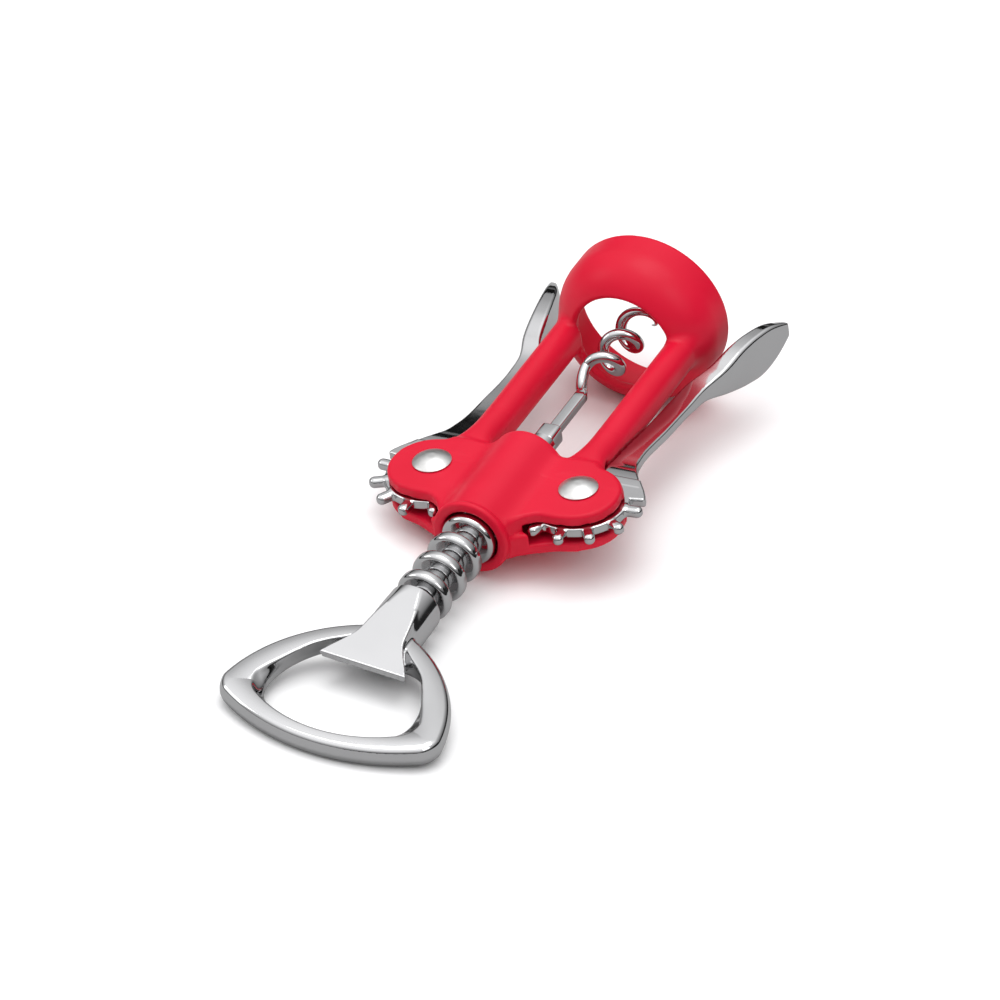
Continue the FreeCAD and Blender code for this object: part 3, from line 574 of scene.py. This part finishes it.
def rackTree():
    tree = bpy.data.node_groups.new("rackRings", "GeometryNodeTree")
    tree.interface.new_socket("Geometry", in_out="OUTPUT", socket_type="NodeSocketGeometry")
    sockets = {"ringCount": ("NodeSocketInt", rackShape["ringCount"])}
    for key in ("pitch", "firstRing", "ringRadius", "ringThickness", "ringRound", "coreRadius", "boreRadius",
                "coreStart", "coreEnd"):
        sockets[key] = ("NodeSocketFloat", rackShape[key] * mm)
    identifiers = {}
    for key, (kind, value) in sockets.items():
        socket = tree.interface.new_socket(key, in_out="INPUT", socket_type=kind)
        socket.default_value = value
        identifiers[key] = socket.identifier
    identifiers["material"] = tree.interface.new_socket(
        "material", in_out="INPUT", socket_type="NodeSocketMaterial").identifier
    add, link = tree.nodes.new, tree.links.new
    given = add("NodeGroupInput").outputs
    result = add("NodeGroupOutput")

    def maths(operation, a, b):
        node = add("ShaderNodeMath")
        node.operation = operation
        for socket, value in zip(node.inputs, (a, b)):
            if isinstance(value, (int, float)):
                socket.default_value = value
            else:
                link(value, socket)
        return node.outputs[0]

    def alongY(source):
        node = add("ShaderNodeCombineXYZ")
        link(source, node.inputs["Y"])
        return node.outputs[0]

    # one ring: a rounded slab carried round a circle
    depth = maths("SUBTRACT", given["ringRadius"], maths("MULTIPLY", given["coreRadius"], 0.8))
    slab = add("GeometryNodeCurvePrimitiveQuadrilateral")
    link(depth, slab.inputs["Width"])
    link(given["ringThickness"], slab.inputs["Height"])
    soft = add("GeometryNodeFilletCurve")
    soft.mode = "POLY"
    soft.inputs["Count"].default_value = 8
    link(slab.outputs["Curve"], soft.inputs["Curve"])
    link(given["ringRound"], soft.inputs["Radius"])
    loop = add("GeometryNodeCurvePrimitiveCircle")
    loop.inputs["Resolution"].default_value = 128
    link(maths("SUBTRACT", given["ringRadius"], maths("MULTIPLY", depth, 0.5)), loop.inputs["Radius"])
    ring = add("GeometryNodeCurveToMesh")
    link(loop.outputs["Curve"], ring.inputs["Curve"])
    link(soft.outputs["Curve"], ring.inputs["Profile Curve"])
    stood = add("GeometryNodeTransform")
    stood.inputs["Rotation"].default_value = (math.pi / 2, 0, 0)
    link(ring.outputs["Mesh"], stood.inputs["Geometry"])

    row = add("GeometryNodeMeshLine")
    link(given["ringCount"], row.inputs["Count"])
    link(alongY(given["firstRing"]), row.inputs["Start Location"])
    link(alongY(maths("MULTIPLY", given["pitch"], -1)), row.inputs["Offset"])
    rings = add("GeometryNodeInstanceOnPoints")
    link(row.outputs["Mesh"], rings.inputs["Points"])
    link(stood.outputs["Geometry"], rings.inputs["Instance"])

    # the tube that joins the rings, bored for the rod
    tubeSlab = add("GeometryNodeCurvePrimitiveQuadrilateral")
    link(maths("SUBTRACT", given["coreRadius"], given["boreRadius"]), tubeSlab.inputs["Width"])
    link(maths("SUBTRACT", given["coreEnd"], given["coreStart"]), tubeSlab.inputs["Height"])
    tubeLoop = add("GeometryNodeCurvePrimitiveCircle")
    tubeLoop.inputs["Resolution"].default_value = 96
    across = maths("ADD", given["coreRadius"], given["boreRadius"])
    link(maths("MULTIPLY", across, 0.5), tubeLoop.inputs["Radius"])
    tube = add("GeometryNodeCurveToMesh")
    link(tubeLoop.outputs["Curve"], tube.inputs["Curve"])
    link(tubeSlab.outputs["Curve"], tube.inputs["Profile Curve"])
    core = add("GeometryNodeTransform")
    core.inputs["Rotation"].default_value = (math.pi / 2, 0, 0)
    middle = maths("MULTIPLY", maths("ADD", given["coreStart"], given["coreEnd"]), 0.5)
    link(alongY(middle), core.inputs["Translation"])
    link(tube.outputs["Mesh"], core.inputs["Geometry"])

    joined = add("GeometryNodeJoinGeometry")
    link(rings.outputs["Instances"], joined.inputs["Geometry"])
    link(core.outputs["Geometry"], joined.inputs["Geometry"])
    real = add("GeometryNodeRealizeInstances")
    link(joined.outputs["Geometry"], real.inputs["Geometry"])
    placed = add("GeometryNodeTransform")
    placed.inputs["Translation"].default_value = (0, pivotY * mm, 0)
    link(real.outputs["Geometry"], placed.inputs["Geometry"])
    coat = add("GeometryNodeSetMaterial")
    link(placed.outputs["Geometry"], coat.inputs["Geometry"])
    link(given["material"], coat.inputs["Material"])
    link(coat.outputs["Geometry"], result.inputs["Geometry"])
    return tree, identifiers


def treeMesh(name, tree, settings):
    # the tree's result as a plain mesh
    holder = bpy.data.objects.new(name + "Holder", bpy.data.meshes.new(name + "Holder"))
    bpy.context.scene.collection.objects.link(holder)
    modifier = holder.modifiers.new("tree", "NODES")
    modifier.node_group = tree
    for identifier, value in settings.items():
        modifier[identifier] = value
    bpy.context.view_layer.update()
    graph = bpy.context.evaluated_depsgraph_get()
    mesh = bpy.data.meshes.new_from_object(holder.evaluated_get(graph))
    bpy.data.objects.remove(holder)
    made = bpy.data.objects.new(name, mesh)
    bpy.context.scene.collection.objects.link(made)
    work = bmesh.new()
    work.from_mesh(mesh)
    bmesh.ops.recalc_face_normals(work, faces=work.faces)
    for face in work.faces:
        face.smooth = True
    for edge in work.edges:
        edge.smooth = len(edge.link_faces) == 2 and edge.calc_face_angle() < math.radians(38)
    work.to_mesh(mesh)
    work.free()
    return made


def makeRack():
    tree, identifiers = rackTree()
    rack = treeMesh("rackSleeve", tree, {identifiers["material"]: chrome})
    finishPiece(rack, chrome, "rack", "chrome", "rack_sleeve")


makeRack()
print("rack made")


# ---- the worm: a flattened shank, open coils of round wire and a sharp point
wormShape = {"shankStart": 20.0, "shankEnd": 36.0, "shankWidth": 2.6, "shankThick": 2.25, "wire": 1.25,
             "coilRadius": 3.15, "pitch": 9.15, "turns": 2.62, "startAngle": 150, "leadTurns": 0.25,
             "leadRise": 9.5, "taperTurns": 0.62, "pointRadius": 0.1,
             "leadPower": 1.7, "taperPower": 0.75, "settleTurns": 0.07, "coilSteps": 260, "sides": 32}


def sweep(name, path, widths, heights, corners, sides):
    # corners: 2 gives a round section, larger numbers a squarer one
    path = np.asarray(path, float)
    way = np.gradient(path, axis=0)
    way /= np.linalg.norm(way, axis=1, keepdims=True)
    up = np.array([0.0, 0.0, 1.0])
    turn = np.linspace(0, 2 * math.pi, sides, endpoint=False)
    points, faces = [path[0]], []
    for spot, ahead, width, height, corner in zip(path, way, widths, heights, corners):
        up = up - ahead * (up @ ahead)
        up /= np.linalg.norm(up)
        aside = np.cross(ahead, up)
        c, d = np.cos(turn), np.sin(turn)
        u = np.sign(c) * np.abs(c) ** (2 / corner) * width / 2
        v = np.sign(d) * np.abs(d) ** (2 / corner) * height / 2
        points.extend(spot + np.outer(u, aside) + np.outer(v, up))
    last = len(path) - 1
    points.append(path[-1])
    for k in range(sides):
        following = (k + 1) % sides
        faces.append((0, 1 + following, 1 + k))
        for row in range(last):
            a = 1 + row * sides
            faces.append((a + k, a + following, a + sides + following, a + sides + k))
        faces.append((len(points) - 1, 1 + last * sides + k, 1 + last * sides + following))
    made = meshObject(name, np.array(points), [])
    mesh = bmesh.new()
    for point in points:
        mesh.verts.new((point + (0, pivotY, 0)) * mm)
    mesh.verts.ensure_lookup_table()
    for face in faces:
        mesh.faces.new([mesh.verts[i] for i in face]).smooth = True
    bmesh.ops.recalc_face_normals(mesh, faces=mesh.faces)
    for edge in mesh.edges:
        edge.smooth = edge.calc_face_angle() < math.radians(50)
    mesh.to_mesh(made.data)
    mesh.free()
    return made


def makeWorm():
    s = wormShape
    path, widths, heights, corners = [], [], [], []
    for y in np.concatenate([[s["shankStart"]], np.linspace(s["shankStart"] + 0.1, s["shankEnd"] - 0.7, 24)]):
        path.append((0, y, 0))
        widths.append(s["shankWidth"])
        heights.append(s["shankThick"])
        corners.append(7)
    total = s["leadTurns"] + s["turns"]
    for turned in np.linspace(0.006, total, s["coilSteps"]):
        share = min(turned / s["leadTurns"], 1)
        radius = s["coilRadius"] * (1 - (1 - share) ** s["leadPower"])
        angle = math.radians(s["startAngle"]) - 2 * math.pi * (turned - s["leadTurns"])
        rise = s["leadRise"] * share + s["pitch"] * max(turned - s["leadTurns"], 0)
        path.append((radius * math.cos(angle), s["shankEnd"] + rise, radius * math.sin(angle)))
        taper = min((total - turned) / s["taperTurns"], 1)
        wire = 2 * (s["pointRadius"] + (s["wire"] - s["pointRadius"]) * taper ** s["taperPower"])
        settle = smoothStep(turned / s["settleTurns"])
        widths.append(wire * settle + s["shankWidth"] * (1 - settle))
        heights.append(wire * settle + s["shankThick"] * (1 - settle))
        corners.append(7 - 5 * settle)
    worm = sweep("wormCoil", path, widths, heights, corners, s["sides"])
    finishPiece(worm, chrome, "spindle", "chrome", "worm")


ferruleShape = {"start": 17.6, "length": 4.8, "width": 4.6, "soften": 0.45, "corner": 5}


def makeFerrule():
    s = ferruleShape
    ys, scale = [], []
    for k in range(9):
        turn = math.pi / 2 * k / 8
        ys.append(s["start"] + s["soften"] * (1 - math.cos(turn)))
        scale.append(s["width"] - 2 * s["soften"] * (1 - math.sin(turn)))
    ys += [2 * s["start"] + s["length"] - y for y in reversed(ys)]
    scale += list(reversed(scale))
    path = [(0, y, 0) for y in ys]
    ferrule = sweep("wormFerrule", path, scale, scale, [s["corner"]] * len(ys), 48)
    finishPiece(ferrule, chrome, "spindle", "chrome", "worm_ferrule")


makeWorm()
makeFerrule()
for node in ("spindle_rod", "handle_pin"):
    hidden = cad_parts[node]
    hidden.data.materials.clear()
    hidden.data.materials.append(rodSteel)
print("worm made")


# ---- floor, light and camera
stageShape = {"handleRest": -2.5, "handleEnd": -90.0, "bellDrop": -18.9, "bellAt": 66.5,
              "gap": 0.2, "half": 0.9}


def floorPlane():
    # the plane that the handle's corners and the underside of the bell lie on
    s = stageShape
    turn = math.radians(openerShape["turn"])
    slope = (s["handleRest"] - s["bellDrop"]) / (s["bellAt"] - s["handleEnd"])
    across = Vector((math.cos(turn), 0, -math.sin(turn)))
    up = Vector((math.sin(turn), 0, math.cos(turn)))
    normal = (up + Vector((0, slope, 0))).normalized()
    touch = up * s["handleRest"] + Vector((0, s["handleEnd"] + pivotY, 0)) - normal * s["gap"]
    return touch * mm, across, normal


def makeFloor():
    touch, across, normal = floorPlane()
    along = normal.cross(across)
    half = stageShape["half"]
    corners = [touch + across * (half * i) + along * (half * j)
               for i, j in ((-1, -1), (1, -1), (1, 1), (-1, 1))]
    mesh = bpy.data.meshes.new("floor")
    mesh.from_pydata([tuple(c) for c in corners], [], [(0, 1, 2, 3)])
    floor = bpy.data.objects.new("floor", mesh)
    bpy.context.scene.collection.objects.link(floor)
    m = Nodes("paleFloorReflectionShade")
    m.set(Roughness=0.9, Specular_IOR_Level=0.1)
    # painted shade in reflections: the board is painted a darker grey for glossy rays, so it looks greyer in
    # the chrome than to the eye, standing in for a sheet lit only in the middle
    path = m.tree.nodes.new("ShaderNodeLightPath")
    m.feed(m.tint(path.outputs["Is Glossy Ray"], (0.96, 0.96, 0.96), (0.42, 0.42, 0.42)), "Base Color")
    mesh.materials.append(m.material)


makeFloor()

cameraShape = {"azimuth": 31.47, "elevation": 35.09, "roll": -8.65, "distance": 1.3583, "lens": 230.35,
               "aim": (0.1, -3.64, 0.0)}
lookAt = (Vector(cameraShape["aim"]) + Vector((0, pivotY, 0))) * mm


def makeCamera():
    s = cameraShape
    a, e, r = (math.radians(s[k]) for k in ("azimuth", "elevation", "roll"))
    back = Vector((math.sin(a) * math.cos(e), -math.cos(a) * math.cos(e), math.sin(e)))
    level = Vector((math.cos(a), math.sin(a), 0))
    rise = back.cross(level)
    right = level * math.cos(r) + rise * math.sin(r)
    upward = rise * math.cos(r) - level * math.sin(r)
    data = bpy.data.cameras.new("camera")
    data.lens, data.sensor_width = s["lens"], 36
    data.clip_start, data.clip_end = 0.05, 20
    camera = bpy.data.objects.new("camera", data)
    turned = Matrix((right, upward, back)).transposed().to_4x4()
    camera.matrix_world = Matrix.Translation(lookAt + back * s["distance"]) @ turned
    bpy.context.scene.collection.objects.link(camera)
    bpy.context.scene.camera = camera


makeCamera()


def areaLight(name, direction, distance, size, power):
    data = bpy.data.lights.new(name, "AREA")
    data.energy = power
    data.size = size
    light = bpy.data.objects.new(name, data)
    direction = Vector(direction).normalized()
    light.location = lookAt + direction * distance
    light.rotation_mode = "QUATERNION"
    light.rotation_quaternion = direction.to_track_quat("Z", "Y")
    bpy.context.scene.collection.objects.link(light)


def darkCard(name, direction, distance, wide, tall):
    # seen only in the chrome, as a black board beside a product table
    centre = lookAt + Vector(direction).normalized() * distance
    facing = Vector(direction).normalized().to_track_quat("Z", "Y").to_matrix()
    across = facing @ Vector((1, 0, 0))
    along = facing @ Vector((0, 1, 0))
    corners = [centre + across * (wide * i) + along * (tall * j)
               for i, j in ((-0.5, -0.5), (0.5, -0.5), (0.5, 0.5), (-0.5, 0.5))]
    mesh = bpy.data.meshes.new(name)
    mesh.from_pydata([tuple(c) for c in corners], [], [(0, 1, 2, 3)])
    m = Nodes(name)
    m.set(Base_Color=(0.01, 0.01, 0.01, 1), Roughness=0.9, Specular_IOR_Level=0.0)
    mesh.materials.append(m.material)
    card = bpy.data.objects.new(name, mesh)
    bpy.context.scene.collection.objects.link(card)
    card.visible_camera = card.visible_diffuse = card.visible_shadow = False


def studioSky():
    # dim at the horizon, brighter overhead, as inside a light tent
    world = bpy.data.worlds.new("studio")
    world.use_nodes = True
    tree = world.node_tree
    place = tree.nodes.new("ShaderNodeTexCoord")
    split = tree.nodes.new("ShaderNodeSeparateXYZ")
    ramp = tree.nodes.new("ShaderNodeValToRGB")
    tree.links.new(place.outputs["Generated"], split.inputs[0])
    tree.links.new(split.outputs["Z"], ramp.inputs["Fac"])
    stops = [(0.0, 0.02), (0.10, 0.03), (0.22, 0.22), (0.42, 0.42), (0.60, 0.66), (0.80, 1.15), (1.0, 1.3)]
    for index, (spot, level) in enumerate(stops):
        stop = ramp.color_ramp.elements[index] if index < 2 else ramp.color_ramp.elements.new(spot)
        stop.position = spot
        stop.color = (level, level, level * 1.01, 1)
    tree.links.new(ramp.outputs["Color"], tree.nodes["Background"].inputs["Color"])
    tree.nodes["Background"].inputs["Strength"].default_value = 1.15
    bpy.context.scene.world = world


studioSky()
bpy.context.scene.view_settings.view_transform = "Standard"
areaLight("topBox", (0.1, 0.2, 1.0), 0.9, 0.62, 2.6)
areaLight("leftBox", (-1.0, -0.35, 0.8), 0.9, 0.35, 0.7)
areaLight("rightBox", (1.0, -0.30, 0.75), 1.0, 0.45, 1.1)
darkCard("blackCardFar", (-0.35, 1.0, 0.30), 0.8, 0.6, 0.12)
darkCard("blackCardSide", (1.0, 0.35, 0.22), 0.8, 0.5, 0.14)
darkCard("blackCardNear", (0.25, -1.0, 0.16), 0.9, 0.5, 0.10)
darkCard("blackCardLeft", (-1.0, 0.1, 0.2), 0.8, 0.4, 0.12)
print("stage set")
